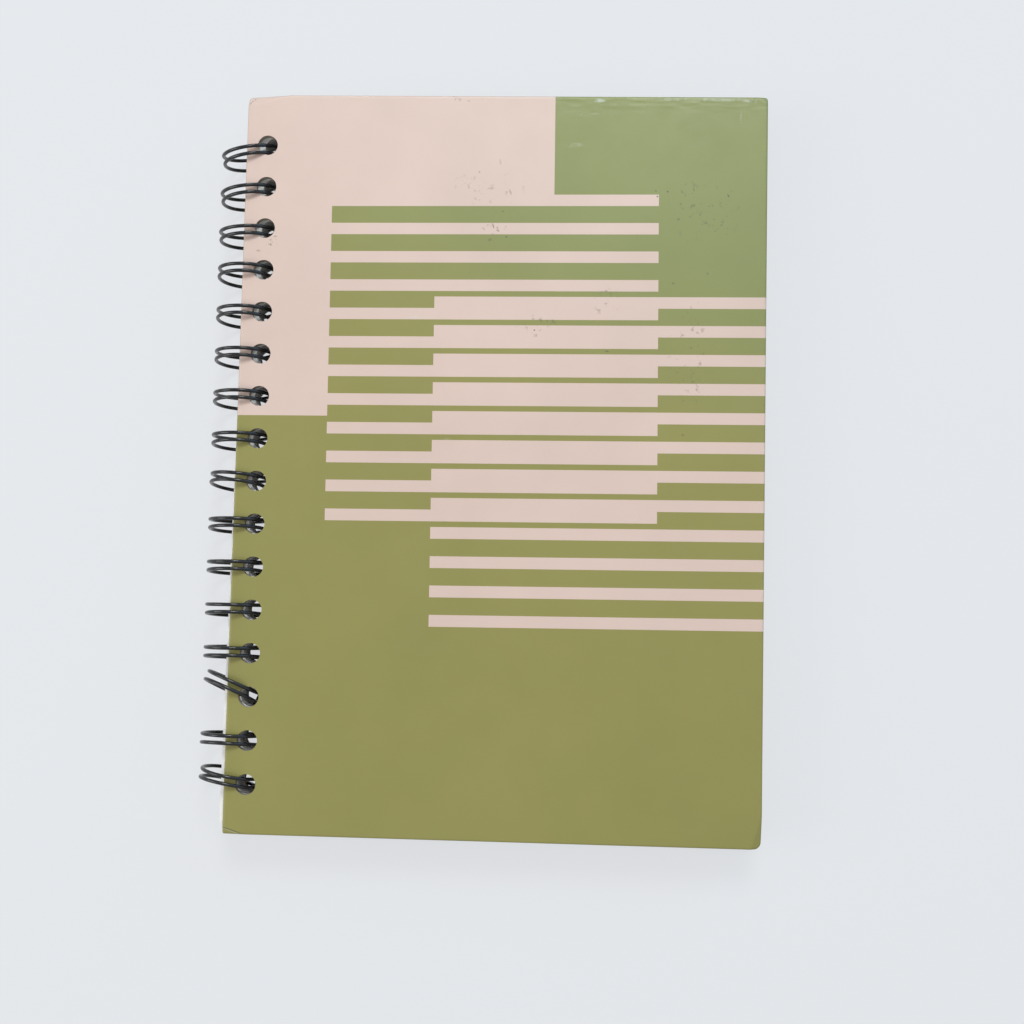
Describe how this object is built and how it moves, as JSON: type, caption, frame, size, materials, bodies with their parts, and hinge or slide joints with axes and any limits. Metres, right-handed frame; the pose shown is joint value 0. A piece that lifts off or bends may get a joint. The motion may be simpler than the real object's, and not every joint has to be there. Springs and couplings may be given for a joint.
{
  "type": "spiral notebook",
  "caption": "Hardcover notebook with striped front cover, bound along its left edge by a twin-loop wire, with covers that open flat.",
  "frame": {"origin": "middle of the notebook's box in plan, on the surface it lies on", "axes": "+X from the spine to the fore edge, +Y up the page, +Z out of the front cover"},
  "size_m": [0.165, 0.2206, 0.0177],
  "materials": {
    "board": "raw grey board",
    "covering_paper": "matt olive laminated paper",
    "pale_print": "matt pale pink print",
    "endpaper": "uncoated cream paper",
    "leaves": "stacked uncoated leaves",
    "wire": "black coated wire, satin"
  },
  "bodies": {
    "leaves_and_wire": {"page_block": "leaves", "binding_wire": "wire", "bent_prongs": "wire"},
    "front_cover": {"front_board": "board", "front_wrap": "covering_paper", "front_print": "pale_print", "front_endpaper": "endpaper"},
    "back_cover": {"back_board": "board", "back_wrap": "covering_paper", "back_endpaper": "endpaper"}
  },
  "joints": [
    {"name": "front_open", "type": "hinge", "parent": "leaves_and_wire", "child": "front_cover", "pos_m": [-0.07362, 0, 0.00885], "axis": [0, -1, 0], "range_deg": [0, 180], "deforming": ["bent_prongs"]},
    {"name": "back_open", "type": "hinge", "parent": "leaves_and_wire", "child": "back_cover", "pos_m": [-0.07362, 0, 0.00885], "axis": [0, 1, 0], "range_deg": [0, 180], "deforming": ["bent_prongs"]}
  ]
}
